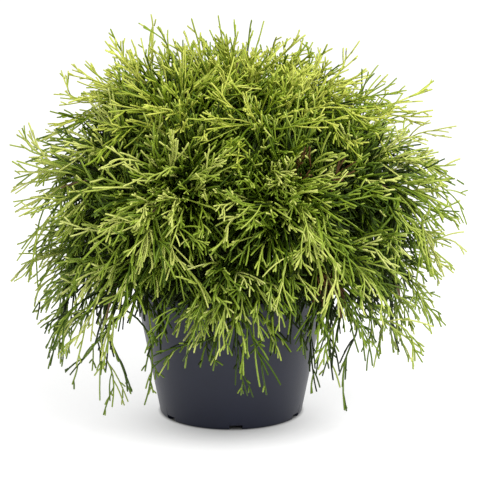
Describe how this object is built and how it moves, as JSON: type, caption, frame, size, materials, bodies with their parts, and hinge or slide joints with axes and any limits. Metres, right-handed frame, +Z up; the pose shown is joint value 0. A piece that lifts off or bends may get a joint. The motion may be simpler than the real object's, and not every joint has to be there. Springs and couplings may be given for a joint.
{
  "type": "potted cypress",
  "caption": "Dome-shaped golden thread-leaf cypress with a weeping skirt, growing on a short trunk in a tapered round nursery pot.",
  "frame": {"origin": "centre of the pot's underside, on the level that the pot stands on", "axes": "+Z up along the pot's axis, -Y towards the viewer of the reference picture, +X to that viewer's right"},
  "size_m": [0.5187, 0.5152, 0.4774],
  "materials": {
    "pot": "matte, lightly moulded",
    "compost": "rough, granular",
    "bark": "rough, fibrous",
    "foliage": "matte scale leaves, yellow tips to green"
  },
  "bodies": {
    "root": {"pot": "pot", "compost": "compost", "trunk": "bark", "bough_skirt_1": "bark", "bough_skirt_2": "bark", "bough_skirt_3": "bark", "bough_skirt_4": "bark", "bough_skirt_5": "bark", "bough_skirt_6": "bark", "bough_skirt_7": "bark", "bough_skirt_8": "bark", "bough_middle_1": "bark", "bough_middle_2": "bark", "bough_middle_3": "bark", "bough_middle_4": "bark", "bough_middle_5": "bark", "bough_middle_6": "bark", "bough_middle_7": "bark", "bough_middle_8": "bark", "bough_upper_1": "bark", "bough_upper_2": "bark", "bough_upper_3": "bark", "bough_upper_4": "bark", "bough_upper_5": "bark", "bough_upper_6": "bark", "foliage_skirt_1": "foliage", "foliage_skirt_2": "foliage", "foliage_skirt_3": "foliage", "foliage_skirt_4": "foliage", "foliage_skirt_5": "foliage", "foliage_skirt_6": "foliage", "foliage_skirt_7": "foliage", "foliage_skirt_8": "foliage", "foliage_middle_1": "foliage", "foliage_middle_2": "foliage", "foliage_middle_3": "foliage", "foliage_middle_4": "foliage", "foliage_middle_5": "foliage", "foliage_middle_6": "foliage", "foliage_middle_7": "foliage", "foliage_middle_8": "foliage", "foliage_upper_1": "foliage", "foliage_upper_2": "foliage", "foliage_upper_3": "foliage", "foliage_upper_4": "foliage", "foliage_upper_5": "foliage", "foliage_upper_6": "foliage", "foliage_top": "foliage"}
  },
  "joints": []
}
